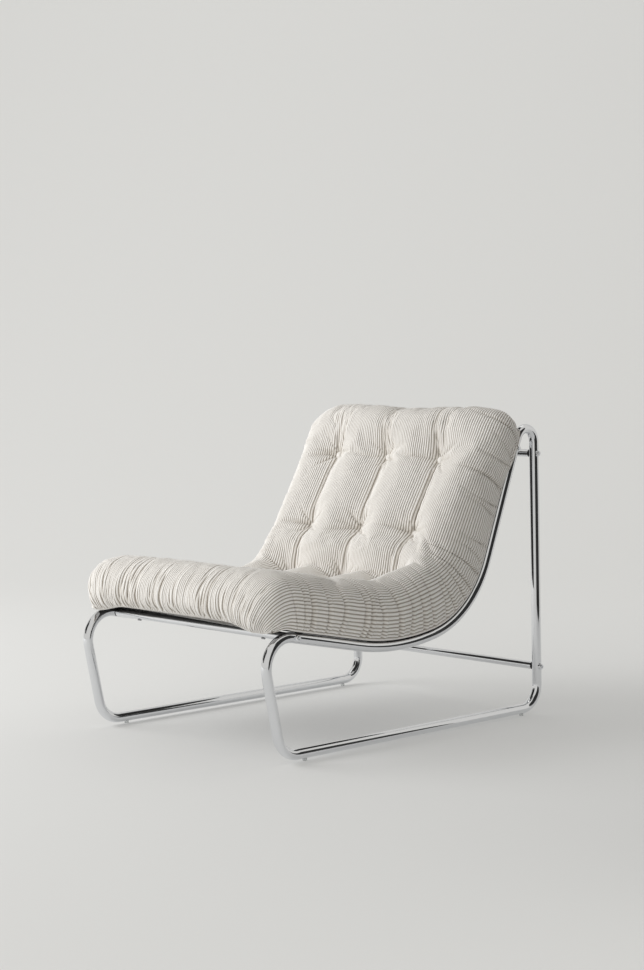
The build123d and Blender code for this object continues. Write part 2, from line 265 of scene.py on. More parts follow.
# %% [markdown]
# ## The line of seat and back
# Everything soft follows the rail: a straight that slopes down from the knee bend, a shallow dip, a tight
# bend and a straight back. Its slope angle is a broken line over its length, so adding up the cosine and
# the sine of that angle gives every point. A place on the cushion is then three lengths: across, along
# the rail, and away from the rail.

# %% The rail's formula
KNEE_DEPTH = -0.44462
KNEE_HEIGHT = 0.274
SEAT_SLOPE = math.radians(11.1)
SEAT_STRAIGHT = 0.285
DIP_TURN = math.radians(22.4)
DIP_R = 0.600
BACK_TURN = math.radians(57.4)
BACK_R = 0.240
RAIL_START = -0.05
RAIL_REACH = 1.25
RAIL_STEP = 0.0005


def rail_angle(s):
    """Slope at length s: down by the seat's slope, turned up evenly over the dip and the back bend."""
    back_start = SEAT_STRAIGHT + DIP_R * DIP_TURN
    dip = np.clip((s - SEAT_STRAIGHT) / DIP_R, 0.0, DIP_TURN)
    return dip - SEAT_SLOPE + np.clip((s - back_start) / BACK_R, 0.0, BACK_TURN)


def added_up(steps):
    """Sum of the steps so far, starting from nothing."""
    return RAIL_STEP * np.concatenate([[0.0], np.cumsum(steps)])


RAIL_S = np.arange(RAIL_START, RAIL_REACH, RAIL_STEP)
RAIL_ANGLES = rail_angle(RAIL_S[:-1] + RAIL_STEP / 2)
RAIL_Y = KNEE_DEPTH + RAIL_START * math.cos(SEAT_SLOPE) + added_up(np.cos(RAIL_ANGLES))
RAIL_Z = KNEE_HEIGHT - RAIL_START * math.sin(SEAT_SLOPE) + added_up(np.sin(RAIL_ANGLES))


def place(x, s, n):
    """Point at x across, s along the rail and n away from it, square to the rail's slope."""
    angle = rail_angle(s)
    y = np.interp(s, RAIL_S, RAIL_Y) - n * np.sin(angle)
    z = np.interp(s, RAIL_S, RAIL_Z) + n * np.cos(angle)
    return np.stack(np.broadcast_arrays(x, y, z), axis=-1)


print("rail from", place(0.0, RAIL_S[0], 0.0).round(4), "to", place(0.0, RAIL_S[-1], 0.0).round(4))

# %% [markdown]
# ## The cushion as a fitted sheet
# The real cover is one wide piece of corduroy pulled over the foam like a fitted sheet: the wales run
# from the front edge up to the top, and down over the sides. So the mesh is one grid, with columns along
# the wales. Two kinds of helper come first. Smooth steps blend one form into the next without a line,
# and even spacing keeps the threads of the fabric at equal distances.


# %% Smooth steps and even spacing
def rise(value, start, end):
    """Smooth step from 0 at the start to 1 at the end: 3 t^2 - 2 t^3 of the share t in between."""
    share = np.clip((value - start) / (end - start), 0.0, 1.0)
    return share * share * (3.0 - 2.0 * share)


def fall(value, start, end):
    """Smooth step from 1 at the start down to 0 at the end."""
    return rise(-value, -end, -start)


def hill(value, start, full, still, end):
    """Smooth steps from 0 at the start up to 1, level in between, and down to 0 at the end."""
    return rise(value, start, full) * fall(value, still, end)


def evenly(points, count):
    """Points at even distances along a line of points, and their distances."""
    steps = np.linalg.norm(np.diff(points, axis=0), axis=1)
    lengths = np.concatenate([[0.0], np.cumsum(steps)])
    even = np.linspace(0.0, lengths[-1], count)
    return np.stack([np.interp(even, lengths, column) for column in points.T], axis=1), even


print("steps ready, halfway at", rise(0.5, 0.0, 1.0))

# %% [markdown]
# ## The two outlines
# One outline runs along, from under the front edge over the seat and back to behind the top. One runs
# across, from the left hem over the crown to the right hem. Each gives a place and a share of the height.
# The one along has rounded edges. The one across is half a superellipse, flatter on top than an ellipse.

# %% Outlines across and along
CUSHION_HEIGHT = 0.0990
CUSHION_FRONT = -0.008
CUSHION_END = 1.098
CUSHION_HALF = 0.305
HEM_DRAW_IN = 0.012
CROWN_POWER = 4.3
CROWN_POINTS = 4001
TOP_EDGE_R = 0.074
TOP_EDGE_LIFT = 0.005
BOTTOM_EDGE_R = 0.028
ARC_POINTS = 60


def across_outline(count):
    """Half a superellipse over the foam, drawn in at its hems: x and height share, evenly spaced."""
    even = np.linspace(0.0, 1.0, CROWN_POINTS)
    turn = math.pi / 2 * even ** 2 * (3.0 - 2.0 * even)
    share = np.sin(turn) ** (2.0 / CROWN_POWER)
    out = CUSHION_HALF * np.cos(turn) ** (2.0 / CROWN_POWER) - HEM_DRAW_IN * (1.0 - share) ** 2
    half = np.stack([out, CUSHION_HEIGHT * share], axis=1)
    whole = np.concatenate([half * (-1.0, 1.0), half[-2::-1]])
    points, lengths = evenly(whole, count)
    return points[:, 0], points[:, 1] / CUSHION_HEIGHT, lengths


def end_arc(centre, reach, height, start, turn):
    """Quarter of an ellipse about a centre in (length, height), from one angle over a turn."""
    angle = math.radians(start) + np.linspace(0.0, math.radians(turn), ARC_POINTS)
    return np.stack([centre[0] + reach * np.cos(angle), centre[1] + height * np.sin(angle)], axis=1)


def along_outline(count):
    """Front face, top and end face with rounded edges: s and height share, evenly spaced."""
    edge_height = CUSHION_HEIGHT - BOTTOM_EDGE_R - TOP_EDGE_LIFT
    low = (CUSHION_FRONT + BOTTOM_EDGE_R, BOTTOM_EDGE_R)
    high = (CUSHION_FRONT + TOP_EDGE_R, CUSHION_HEIGHT - edge_height)
    front = np.concatenate([end_arc(low, BOTTOM_EDGE_R, BOTTOM_EDGE_R, 270, -90),
                            end_arc(high, TOP_EDGE_R, edge_height, 180, -90)])
    back = front[::-1] * (-1.0, 1.0) + (CUSHION_FRONT + CUSHION_END, 0.0)
    points, lengths = evenly(np.concatenate([front, back]), count)
    return points[:, 0], points[:, 1] / CUSHION_HEIGHT, lengths


cover_width = across_outline(2)[2][-1]
cover_length = along_outline(2)[2][-1]
print("cover", round(cover_width, 3), "m wide,", round(cover_length, 3), "m long")

# %% [markdown]
# ## Corners and hem
# Seen from above, the corners of the cushion are round, and the hem is rounder than the top, because the
# cover is drawn in below. The far corners of this cushion are rounder than the near ones. The hem hangs a
# little over the edge of the shell, and furthest at the two front corners.

# %% Round the corners and drop the hem
FAR_ACROSS = (0.0, 0.2)
CORNER_R = 0.020
HEM_CORNER_R = 0.045
FAR_HEM_CORNER_R = 0.015
HEM_CORNER_POWER = 3
FAR_TOP_CORNER_R = 0.070
FAR_TOP_ALONG = (0.6, 0.9)
FAR_FRONT_CORNER_R = 0.035
FAR_FRONT_ALONG = (0.1, 0.3)
FAR_FRONT_HEIGHT = (0.4, 0.9)
HEM_DROP = 0.0045
FRONT_DROP = 0.0020
FRONT_DROP_ALONG = (0.045, 0.090)
CORNER_DROP = 0.016
CORNER_DROP_ACROSS = (0.16, 0.25)
CORNER_DROP_ALONG = (0.01, 0.07)


def round_corners(x, s, high):
    """Pull the square corners of the plan onto circles: rounder at the hem and on the far side."""
    middle = (CUSHION_FRONT + CUSHION_END) / 2
    reach = (CUSHION_END - CUSHION_FRONT) / 2
    far = rise(-x, *FAR_ACROSS)
    radius = CORNER_R + (HEM_CORNER_R + FAR_HEM_CORNER_R * far) * (1.0 - high) ** HEM_CORNER_POWER
    radius = radius + FAR_TOP_CORNER_R * rise(s, *FAR_TOP_ALONG) * far
    radius = radius + FAR_FRONT_CORNER_R * fall(s, *FAR_FRONT_ALONG) * far * rise(high, *FAR_FRONT_HEIGHT)
    u = np.clip((np.abs(x) - (CUSHION_HALF - radius)) / radius, 0.0, 1.0)
    v = np.clip((np.abs(s - middle) - (reach - radius)) / radius, 0.0, 1.0)
    x_in = radius * u * (1.0 - np.sqrt(1.0 - v ** 2 / 2.0))
    s_in = radius * v * (1.0 - np.sqrt(1.0 - u ** 2 / 2.0))
    return x - np.sign(x) * x_in, s - np.sign(s - middle) * s_in


def hem_drop(x, s):
    """How far the hem hangs below the padding's base: least along the front, most at its corners."""
    corner = rise(np.abs(x), *CORNER_DROP_ACROSS) * fall(s, *CORNER_DROP_ALONG)
    front = fall(s, *FRONT_DROP_ALONG)
    return HEM_DROP + (FRONT_DROP - HEM_DROP) * front + CORNER_DROP * corner


print("hem hangs", 1000 * hem_drop(0.0, 0.0), "mm in front,", 1000 * hem_drop(0.0, 0.5), "mm behind")

# %% [markdown]
# ## Padding
# The padding isn't equally high everywhere. It is fullest where the cushion folds into the bend, and the
# near edge of the seat is full too. In the middle of the bend, where people sit, it is pressed hollow.

# %% Height of the padding
FRONT_FILL = 0.007
FRONT_FILL_ALONG = (0.12, 0.26)
BEND_FILL = 0.042
BEND_FILL_ALONG = (0.36, 0.686, 0.686, 1.012)
EDGE_FILL = 0.021
EDGE_FILL_ACROSS = (0.12, 0.26)
EDGE_FILL_RISE = (0.02, 0.30)
EDGE_FILL_FALL = (0.48, 0.70)
HOLLOW_DEPTH = 0.022
HOLLOW_ACROSS = (0.18, 0.24)
HOLLOW_RISE = (0.40, 0.54)
HOLLOW_FALL = (0.56, 0.69)


def crown(s):
    """Height along the cushion: a little fuller at the front, and fullest just above the bend."""
    front = FRONT_FILL * fall(s, *FRONT_FILL_ALONG)
    return CUSHION_HEIGHT + front + BEND_FILL * hill(s, *BEND_FILL_ALONG)


def padding(x, s):
    """The crown, with the fill of the near edge added and the hollow of the bend taken away."""
    fill = EDGE_FILL * rise(x, *EDGE_FILL_ACROSS) * rise(s, *EDGE_FILL_RISE) * fall(s, *EDGE_FILL_FALL)
    hollow = HOLLOW_DEPTH * fall(np.abs(x), *HOLLOW_ACROSS) * rise(s, *HOLLOW_RISE) * fall(s, *HOLLOW_FALL)
    return crown(s) + fill - hollow


print("padding up to", round(float(crown(RAIL_S).max()), 4), "m")

# %% [markdown]
# ## Tufts
# Buttons pull the cover down in rows of three. The row in the bend sits a little lower and deeper than an
# even spacing gives. Between the buttons of a column the cover folds into a crease along the wales, and
# between the columns it only dips. A dip is a depth times a falling exponential of the distance from the
# button or the crease, which is steep at the bottom and gentle at the rim.

# %% Sink of the tufts
CUSHION_LOW = 0.0176
FIRST_ROW = 0.233
ROW_PITCH = 0.182
ROW_COUNT = 5
BEND_ROW = 2
BEND_ROW_SHIFT = 0.037
row_order = np.arange(ROW_COUNT)
TUFT_ROWS = FIRST_ROW + ROW_PITCH * row_order - BEND_ROW_SHIFT * (row_order == BEND_ROW)
TUFT_COLUMNS = np.array([-0.162, 0.0, 0.162])
TUFT_HEIGHT = 0.0896
TUFT_LIFTS = np.array([0.0, 0.0, -0.014, 0.019, 0.0])
TUFT_RIM = 0.028
CREASE_SINK = 0.021
CREASE_RIM = 0.030
CREASE_RUN_IN = 0.14
CREASE_RUN_OUT = 0.080
DIP_SINK = 0.004
DIP_RIM = 0.045
DIP_ACROSS = (0.165, 0.235)
SINK_POWER = 3.0


def tuft_distances(x, s):
    """Distance across to the nearest column of buttons, and along to the nearest row."""
    to_column = np.abs(x[..., None] - TUFT_COLUMNS).min(axis=-1)
    to_row = np.abs(s[..., None] - TUFT_ROWS).min(axis=-1)
    return to_column, to_row


def tuft_sink(x, s):
    """Deepest of button dips, creases along the wales and dips across: a root of a sum of powers."""
    to_column, to_row = tuft_distances(x, s)
    deepest = CUSHION_LOW + crown(TUFT_ROWS) - TUFT_HEIGHT - TUFT_LIFTS
    button = np.interp(s, TUFT_ROWS, deepest) * np.exp(-np.hypot(to_column, to_row) / TUFT_RIM)
    first, last = TUFT_ROWS[0], TUFT_ROWS[-1]
    reach = hill(s, first - CREASE_RUN_IN, first, last, last + CREASE_RUN_OUT)
    crease = CREASE_SINK * reach * np.exp(-to_column / CREASE_RIM)
    dip = DIP_SINK * fall(np.abs(x), *DIP_ACROSS) * np.exp(-to_row / DIP_RIM)
    return (button ** SINK_POWER + crease ** SINK_POWER + dip ** SINK_POWER) ** (1.0 / SINK_POWER)


print(len(TUFT_ROWS) * len(TUFT_COLUMNS), "tufts in rows at", TUFT_ROWS.round(3), "m")

# %% [markdown]
# ## The drawn sheet
# The heights of the two outlines are multiplied, which makes the rounded edges meet in the corners by
# themselves, and the hem is spread round the corners as a sheet is. Along the seat the edges are squarer,
# on the near side further up than on the far one. The near top corner is wider, and the top edge is arched.

# %% Points of the sheet
SPREAD_REACH = 0.12
SPREAD_POWER = 1.5
SQUARE_ACROSS = (-0.1, 0.1)
NEAR_SQUARE_ALONG = (0.45, 0.75)
FAR_SQUARE_ALONG = (0.20, 0.40)
TOP_WIDEN = 0.018
TOP_WIDEN_ALONG = (0.92, 1.04)
TOP_WIDEN_ACROSS = (0.1, 0.3)
FRONT_WIDEN = 0.006
FRONT_WIDEN_ALONG = (0.05, 0.20)
TOP_ARCH = 0.005
TOP_ARCH_ALONG = (0.90, 1.07)
SINK_HEIGHT = (0.5, 0.95)
HEM_POWER = 4


def spread_ends(places, lengths):
    """The places with both steep ends spread evenly over a reach inside the outline, for the hem."""
    kept = (places > places.min() + SPREAD_REACH) & (places < places.max() - SPREAD_REACH)
    kept[[0, -1]] = True
    return np.interp(lengths, lengths[kept], places[kept])


def squared(high, x, s):
    """Height share h made squarer by k along the seat: h + k h^2 (1 - h)."""
    near = rise(x, *SQUARE_ACROSS)
    square = near * fall(s, *NEAR_SQUARE_ALONG) + (1.0 - near) * fall(s, *FAR_SQUARE_ALONG)
    return high + square * high ** 2 * (1.0 - high)


def widened(x, s):
    """x, a little wider at the near top corner and along the front."""
    top = TOP_WIDEN * rise(s, *TOP_WIDEN_ALONG) * rise(x, *TOP_WIDEN_ACROSS)
    front = FRONT_WIDEN * fall(s, *FRONT_WIDEN_ALONG)
    return x * (1.0 + (top + front) / CUSHION_HALF)


def arched(x, s):
    """s, with the top edge arched as a parabola across."""
    return s + TOP_ARCH * rise(s, *TOP_ARCH_ALONG) * (1.0 - (x / CUSHION_HALF) ** 2)


def sheet_points(rows, columns):
    """Grid of the cover: the outlines' heights multiplied, hems spread round the corners, tufts sunk."""
    s_line, high_s, along = along_outline(rows)
    x_line, high_x, across = across_outline(columns)
    x_spread = spread_ends(x_line, across) - x_line
    s_spread = (spread_ends(s_line, along) - s_line)[:, None]
    x = x_line + x_spread * (1.0 - high_s[:, None]) ** SPREAD_POWER
    s = s_line[:, None] + s_spread * (1.0 - high_x) ** SPREAD_POWER
    high = high_s[:, None] * squared(high_x, x, s)
    x, s = round_corners(x, s, high)
    low = CUSHION_LOW - hem_drop(x, s) * (1.0 - high) ** HEM_POWER
    height = low + padding(x, s) * high - tuft_sink(x, s) * rise(high, *SINK_HEIGHT)
    x, s = widened(x, s), arched(x, s)
    return place(x, s, height), x, s, high


SIM_ROWS = 221
SIM_COLUMNS = 137
drawn, sheet_x, sheet_s, sheet_high = sheet_points(SIM_ROWS, SIM_COLUMNS)
print("sheet of", SIM_ROWS, "by", SIM_COLUMNS, "points")

# %% [markdown]
# ## Meshes from arrays
# Blender takes a mesh as whole arrays: the points, the corners of all faces one after the other, and
# where each face starts. A grid needs only its number of rows and columns to find its faces.


# %% Mesh helpers
def grid_faces(rows, columns):
    """Quads of a grid, wound so that they face up when rows run along and columns run across."""
    return quads_between(np.arange(rows * columns).reshape(rows, columns))


def quads_between(index):
    """Quads between the neighbours in a grid of point numbers."""
    corners = [index[:-1, :-1], index[:-1, 1:], index[1:, 1:], index[1:, :-1]]
    return np.stack([corner.ravel() for corner in corners], axis=1)


def mesh_object(name, points, quads, rims=()):
    """Smooth mesh object from an array of points, an array of quads, and a few faces of many corners."""
    mesh = bpy.data.meshes.new(name)
    corners = np.concatenate([np.ravel(quads), *rims]).astype(np.int32)
    counts = np.array([4] * len(quads) + [len(rim) for rim in rims], dtype=np.int32)
    mesh.vertices.add(points.size // 3)
    mesh.vertices.foreach_set("co", np.ravel(points))
    mesh.loops.add(len(corners))
    mesh.loops.foreach_set("vertex_index", corners)
    mesh.polygons.add(len(counts))
    mesh.polygons.foreach_set("loop_start", np.cumsum(counts) - counts)
    mesh.polygons.foreach_set("use_smooth", np.ones(len(counts), dtype=bool))
    mesh.update(calc_edges=True)
    mesh.validate()
    piece = bpy.data.objects.new(name, mesh)
    bpy.context.collection.objects.link(piece)
    return piece


print("a grid of 3 by 3 points has", len(grid_faces(3, 3)), "faces")

# %% [markdown]
# ## Puffing up the cover
# Blender's cloth turns the drawn shape into a stuffed one: pressure from inside pushes the sheet out, and
# the buttons, the creases and the hem hold it. The fabric is cut wider than it is drawn, most of all at
# the hem, which is gathered. So the cloth starts from the wide cut, and a keyed shape pulls the held
# points in to their drawn places while the rest is free. The spare fabric lies across, so the folds run
# along the wales.

# %% The cloth simulation
SIM_FRAMES = 20
SIM_PRESSURE = 4.0
GATHER_FRAMES = 8
CLOTH_QUALITY = 5
CLOTH_MASS = 0.3
CLOTH_STIFFNESS = 25.0
CLOTH_SHEAR = 8.0
CLOTH_BENDING = 0.1
TINY = 1e-12


def set_cloth(settings):
    """Stiffness, pressure and pins of the cover's fabric, without gravity."""
    settings.vertex_group_mass = "held"
    settings.quality = CLOTH_QUALITY
    settings.mass = CLOTH_MASS
    settings.tension_stiffness = CLOTH_STIFFNESS
    settings.compression_stiffness = CLOTH_STIFFNESS
    settings.shear_stiffness = CLOTH_SHEAR
    settings.bending_stiffness = CLOTH_BENDING
    settings.use_pressure = True
    settings.uniform_pressure_force = SIM_PRESSURE
    settings.effector_weights.gravity = 0.0


def simulate(points, cut, held, cap):
    """Cloth from the cut, with held points keyed to their drawn places, and moves eased by tanh to a cap."""
    rows, columns = points.shape[:2]
    cloth = mesh_object("cover_cloth", cut, grid_faces(rows, columns))
    group = cloth.vertex_groups.new(name="held")
    group.add(np.flatnonzero(held).tolist(), 1.0, "REPLACE")
    cloth.shape_key_add(name="cut")
    gathered = cloth.shape_key_add(name="drawn")
    gathered.data.foreach_set("co", np.ravel(points))
    for step, share in ((1, 0.0), (GATHER_FRAMES, 1.0)):
        gathered.value = share
        gathered.keyframe_insert("value", frame=step)
    set_cloth(cloth.modifiers.new("cloth", "CLOTH").settings)
    scene = bpy.context.scene
    for step in range(1, SIM_FRAMES + 1):
        scene.frame_set(step)
    puffed = cloth.evaluated_get(bpy.context.evaluated_depsgraph_get()).to_mesh()
    found = np.empty(points.size)
    puffed.vertices.foreach_get("co", found)
    scene.frame_set(1)
    bpy.data.objects.remove(cloth)
    move = found.reshape(points.shape) - points
    far = np.linalg.norm(move, axis=-1, keepdims=True)
    return points + move * (cap * np.tanh(far / cap) / np.maximum(far, TINY))


print("cloth runs for", SIM_FRAMES, "frames")

# %% [markdown]
# ## What holds the cover
# Each button holds a small round of fabric, the twine between two buttons of a column holds the crease,
# and the hem is held all round. The front edge is cut closer than the rest, and may move less, so that
# it stays smooth and firm.

# %% Run the cloth
SPARE_ACROSS = 0.040
SPARE_IN_FRONT = 0.006
SPARE_RISE = (0.12, 0.24)
SPARE_AT_HEM = 0.030
SPARE_ALONG = 0.004
MOST_MOVE = 0.018
LEAST_MOVE = 0.005
MOVE_RISE = (0.10, 0.28)
BUTTON_HOLD = 0.007
CREASE_HOLD = 0.0025
HELD_HEIGHT = 0.9


def wider_cut(points, s, high):
    """The drawn points scaled up by the spare fabric: little in front, more behind, most at the hem."""
    spare = SPARE_IN_FRONT + (SPARE_ACROSS - SPARE_IN_FRONT) * rise(s, *SPARE_RISE)
    spare = spare + SPARE_AT_HEM * (1.0 - high) ** 2
    along = 1.0 + SPARE_ALONG
    return points * np.stack(np.broadcast_arrays(1.0 + spare, along, along), axis=-1)


def held_points(x, s, high):
    """True at the buttons, along the creases between the first row and the last, and round the hem."""
    to_column, to_row = tuft_distances(x, s)
    crease = (s > TUFT_ROWS[0]) & (s < TUFT_ROWS[-1]) & (to_column < CREASE_HOLD)
    button = np.hypot(to_column, to_row) < BUTTON_HOLD
    held = (crease | button) & (high > HELD_HEIGHT)
    held[[0, -1], :] = True
    held[:, [0, -1]] = True
    return held


cut = wider_cut(drawn, sheet_s, sheet_high)
held = held_points(sheet_x, sheet_s, sheet_high)
cap = LEAST_MOVE + (MOST_MOVE - LEAST_MOVE) * rise(sheet_s, *MOVE_RISE)[..., None]
settled = simulate(drawn, cut, held, cap)
print("held", int(held.sum()), "points, moved up to", round(float(np.abs(settled - drawn).max()), 4), "m")

# %% [markdown]
# ## Folds
# On top of the stuffed shape come the folds that are too sharp for the simulated grid. Each one is a line
# drawn on the flat cloth, with a bow, a width and a depth at both of its ends. Across the line it is a
# sharp valley between two low bulges. Where folds cross, the deepest one counts, so they never add up to
# a hole.

# %% The fold's formula
FOLD_BULGE = 0.30
BULGE_PLACE = 2.2
FOLD_REACH = 5.0


def folds(c0, t0, c1, t1, bow, width, deep0, deep1):
    """Rows of eight numbers: both ends on the cloth, bow, width, and the depth at both ends."""
    numbers = np.broadcast_arrays(c0, t0, c1, t1, bow, width, deep0, deep1)
    return np.stack(numbers, axis=-1).reshape(-1, len(numbers))


def fold_relief(c, t, lines):
    """Height change of all folds, and the depth of their valleys alone: exponential valley, bell bulges."""
    valley = np.zeros((len(t), len(c)))
    bulge = np.zeros((len(t), len(c)))
    for c0, t0, c1, t1, bow, width, deep0, deep1 in lines:
        reach = FOLD_REACH * width + abs(bow)
        rows = slice(*np.searchsorted(t, (min(t0, t1) - reach, max(t0, t1) + reach)))
        columns = slice(*np.searchsorted(c, (min(c0, c1) - reach, max(c0, c1) + reach)))
        from_c, from_t = c[None, columns] - c0, t[rows, None] - t0
        length = math.hypot(c1 - c0, t1 - t0)
        along = (from_c * (c1 - c0) + from_t * (t1 - t0)) / length ** 2
        inside = np.clip(along, 0.0, 1.0)
        aside = (from_c * (t1 - t0) - from_t * (c1 - c0)) / length - bow * 4.0 * inside * (1.0 - inside)
        far = np.hypot(aside, (along - inside) * length) / width
        deep = deep0 + (deep1 - deep0) * inside
        crest = deep * np.exp(-(far - BULGE_PLACE) ** 2)
        valley[rows, columns] = np.maximum(valley[rows, columns], deep * np.exp(-far))
        bulge[rows, columns] = np.maximum(bulge[rows, columns], crest)
    return FOLD_BULGE * bulge - valley, valley


print("a fold's bulges rise to", FOLD_BULGE, "of its depth")

# %% [markdown]
# ## Gathers over the front edge
# The hem under the front edge is drawn together, so short folds run from it up over the edge. Their
# places, lengths and depths are drawn at random, with a fixed seed so that they come out the same
# each time. The stronger ones are longer and deeper.

# %% Front gathers
FOLD_SEED = 7
HEM_CLEAR = 0.010
GATHER_COUNT = 34
GATHER_HALF = 0.30
GATHER_SHIFT = 0.012
GATHER_POWER = 1.5
GATHER_LEAN = 0.016
GATHER_LENGTH = (0.06, 0.11)
GATHER_LONGER = 0.09
GATHER_BOW = 0.005
GATHER_WIDTH = (0.003, 0.006)
GATHER_DEPTH = 0.003
GATHER_DEEPER = 0.009
ANY_SHARE = (0.0, 1.0)
rng = np.random.default_rng(FOLD_SEED)


def about(spread, shape):
    """Random numbers up to a spread on both sides of 0."""
    return rng.uniform(-spread, spread, shape)


def within(limits, shape):
    """Random numbers between two limits."""
    return rng.uniform(*limits, shape)


def front_gathers():
    """Folds from the front hem upwards, side by side."""
    shape = GATHER_COUNT
    at = np.linspace(-GATHER_HALF, GATHER_HALF, shape) + about(GATHER_SHIFT, shape)
    strength = within(ANY_SHARE, shape) ** GATHER_POWER
    return folds(at, HEM_CLEAR, at + about(GATHER_LEAN, shape),
                 within(GATHER_LENGTH, shape) + GATHER_LONGER * strength, about(GATHER_BOW, shape),
                 within(GATHER_WIDTH, shape), GATHER_DEPTH + GATHER_DEEPER * strength, 0.0)


lines = [front_gathers()]
print(len(lines[-1]), "front gathers")

# %% [markdown]
# ## Creases and stars of the tufts
# A button pulls fabric in from all sides, which leaves a star of short folds round it, longest across the
# wales. From button to button along a column the star's folds join into one long crease.

# %% Creases and stars
LENGTH_POINTS = 2001
FRONT_FACE = 0.1
CREASE_WIDTH = 0.004
CREASE_DEPTH = 0.006
STAR_RAYS = 9
STAR_TURN = 0.4
STAR_RIM = 0.007
STAR_LENGTH = (0.025, 0.055)
STAR_ALONG = 0.8
STAR_ACROSS = 0.9
STAR_BOW = 0.004
STAR_WIDTH = (0.003, 0.006)
STAR_DEPTH = (0.005, 0.010)

s_line, _, t_line = along_outline(LENGTH_POINTS)
on_top = t_line > FRONT_FACE
tuft_t = np.interp(TUFT_ROWS, s_line[on_top], t_line[on_top])


def column_creases():
    """Straight folds from each button to the next in its column."""
    c, t = np.meshgrid(TUFT_COLUMNS, tuft_t[:-1])
    return folds(c, t, c, t + np.diff(tuft_t)[:, None], 0.0, CREASE_WIDTH, CREASE_DEPTH, CREASE_DEPTH)


def stars():
    """Rays from each button's rim outwards, at even angles that are turned a little."""
    c, t, turn = np.meshgrid(TUFT_COLUMNS, tuft_t, np.arange(STAR_RAYS) * math.tau / STAR_RAYS)
    shape = turn.shape
    turn = turn + about(STAR_TURN, shape)
    ray = within(STAR_LENGTH, shape) * (STAR_ALONG + STAR_ACROSS * np.abs(np.cos(turn)))
    return folds(c + STAR_RIM * np.cos(turn), t + STAR_RIM * np.sin(turn),
                 c + ray * np.cos(turn), t + ray * np.sin(turn), about(STAR_BOW, shape),
                 within(STAR_WIDTH, shape), within(STAR_DEPTH, shape), 0.0)


lines += [column_creases(), stars()]
print(len(lines[-2]), "creases and", len(lines[-1]), "rays of stars")

# %% [markdown]
# ## Fans at both ends
# Beyond the last row of buttons the crease fans out over the top edge, and beyond the first row it fans
# out over the seat towards the front. Both are the same set of leaning folds with other sizes.

# %% Fans over the top and the seat
FAN_LEANS = (-0.030, -0.006, 0.016, 0.036)
FAN_BOW = 0.006
TOP_FAN = dict(start=0.2, spread=1.0, shift=0.008, length=(0.10, 0.17), width=(0.004, 0.008),
               depth=(0.003, 0.008), end_depth=0.001)
SEAT_FAN = dict(start=0.0, spread=1.4, shift=0.010, length=(0.07, 0.13), width=(0.005, 0.009),
                depth=(0.002, 0.005), end_depth=0.0)


def fan(row, way, start, spread, shift, length, width, depth, end_depth):
    """Leaning folds from each button of a row, up (1) or down (-1) along the cushion."""
    c, lean = np.meshgrid(TUFT_COLUMNS, FAN_LEANS)
    shape = c.shape
    return folds(c + start * lean, row, c + spread * lean + about(shift, shape),
                 row + way * within(length, shape), about(FAN_BOW, shape),
                 within(width, shape), within(depth, shape), end_depth)


lines += [fan(tuft_t[-1], 1.0, **TOP_FAN), fan(tuft_t[0], -1.0, **SEAT_FAN)]
print(len(lines[-2]) + len(lines[-1]), "folds in fans")

# %% [markdown]
# ## Folds down the sides
# Where the cushion bends, its sides have too much fabric, which lies in folds from the crown down to the
# hem. On the seat they slant one way and on the back the other. Between them the hem itself shows short,
# shallow gathers.

# %% Side folds and hem gathers
SIDE_ENDS = (0.12, 0.10)
SIDE_PITCH = 0.044
SIDE_SHIFT = 0.014
SEAT_SLANT = 0.022
BACK_SLANT = 0.040
SLANT_ALONG = (0.45, 0.85)
SIDE_LENGTH = 0.08
SIDE_LONGER = 0.07
SIDE_LEAN = 0.010
SIDE_BOW = 0.008
SIDE_WIDTH = (0.003, 0.0045)
SIDE_DEPTH = 0.005
SIDE_DEEPER = 0.006
SIDE_END_DEPTH = 0.001
TUCK_ENDS = (0.04, 0.04)
TUCK_PITCH = 0.019
TUCK_SHIFT = 0.007
TUCK_LENGTH = (0.020, 0.045)
TUCK_LEAN = 0.008
TUCK_WIDTH = (0.002, 0.004)
TUCK_DEPTH = (0.0005, 0.0015)
edge = cover_width / 2


def both_sides(ends, pitch, shift):
    """Side (-1 or 1) and place along the hem of evenly pitched folds, each shifted a little."""
    side, at = np.meshgrid([-1.0, 1.0], np.arange(ends[0], cover_length - ends[1], pitch))
    return side, at + about(shift, at.shape)


def side_folds():
    """Slanting folds from both hems towards the crown."""
    side, at = both_sides(SIDE_ENDS, SIDE_PITCH, SIDE_SHIFT)
    shape = at.shape
    slant = SEAT_SLANT - BACK_SLANT * rise(at, *SLANT_ALONG)
    strength = within(ANY_SHARE, shape)
    return folds(side * (edge - HEM_CLEAR), at + slant,
                 side * (edge - SIDE_LENGTH - SIDE_LONGER * strength), at + about(SIDE_LEAN, shape),
                 about(SIDE_BOW, shape), within(SIDE_WIDTH, shape),
                 SIDE_DEPTH + SIDE_DEEPER * strength, SIDE_END_DEPTH)


def hem_gathers():
    """Short shallow folds along both hems."""
    side, at = both_sides(TUCK_ENDS, TUCK_PITCH, TUCK_SHIFT)
    shape = at.shape
    return folds(side * (edge - HEM_CLEAR), at, side * (edge - within(TUCK_LENGTH, shape)),
                 at + about(TUCK_LEAN, shape), 0.0, within(TUCK_WIDTH, shape),
                 within(TUCK_DEPTH, shape), 0.0)


lines += [side_folds(), hem_gathers()]
print(len(lines[-2]), "side folds and", len(lines[-1]), "hem gathers")

# %% [markdown]
# ## The fine cover with its wales
# A corduroy wale is a ridge about five millimetres wide. Each one gets six columns of the fine grid, so
# the ridges are real geometry. The simulated points are read as the control points of a smooth spline
# surface, the folds and a faint unevenness are added to it, and the ridges last. A ridge's height is the
# root of a sine, round on top with a narrow valley.

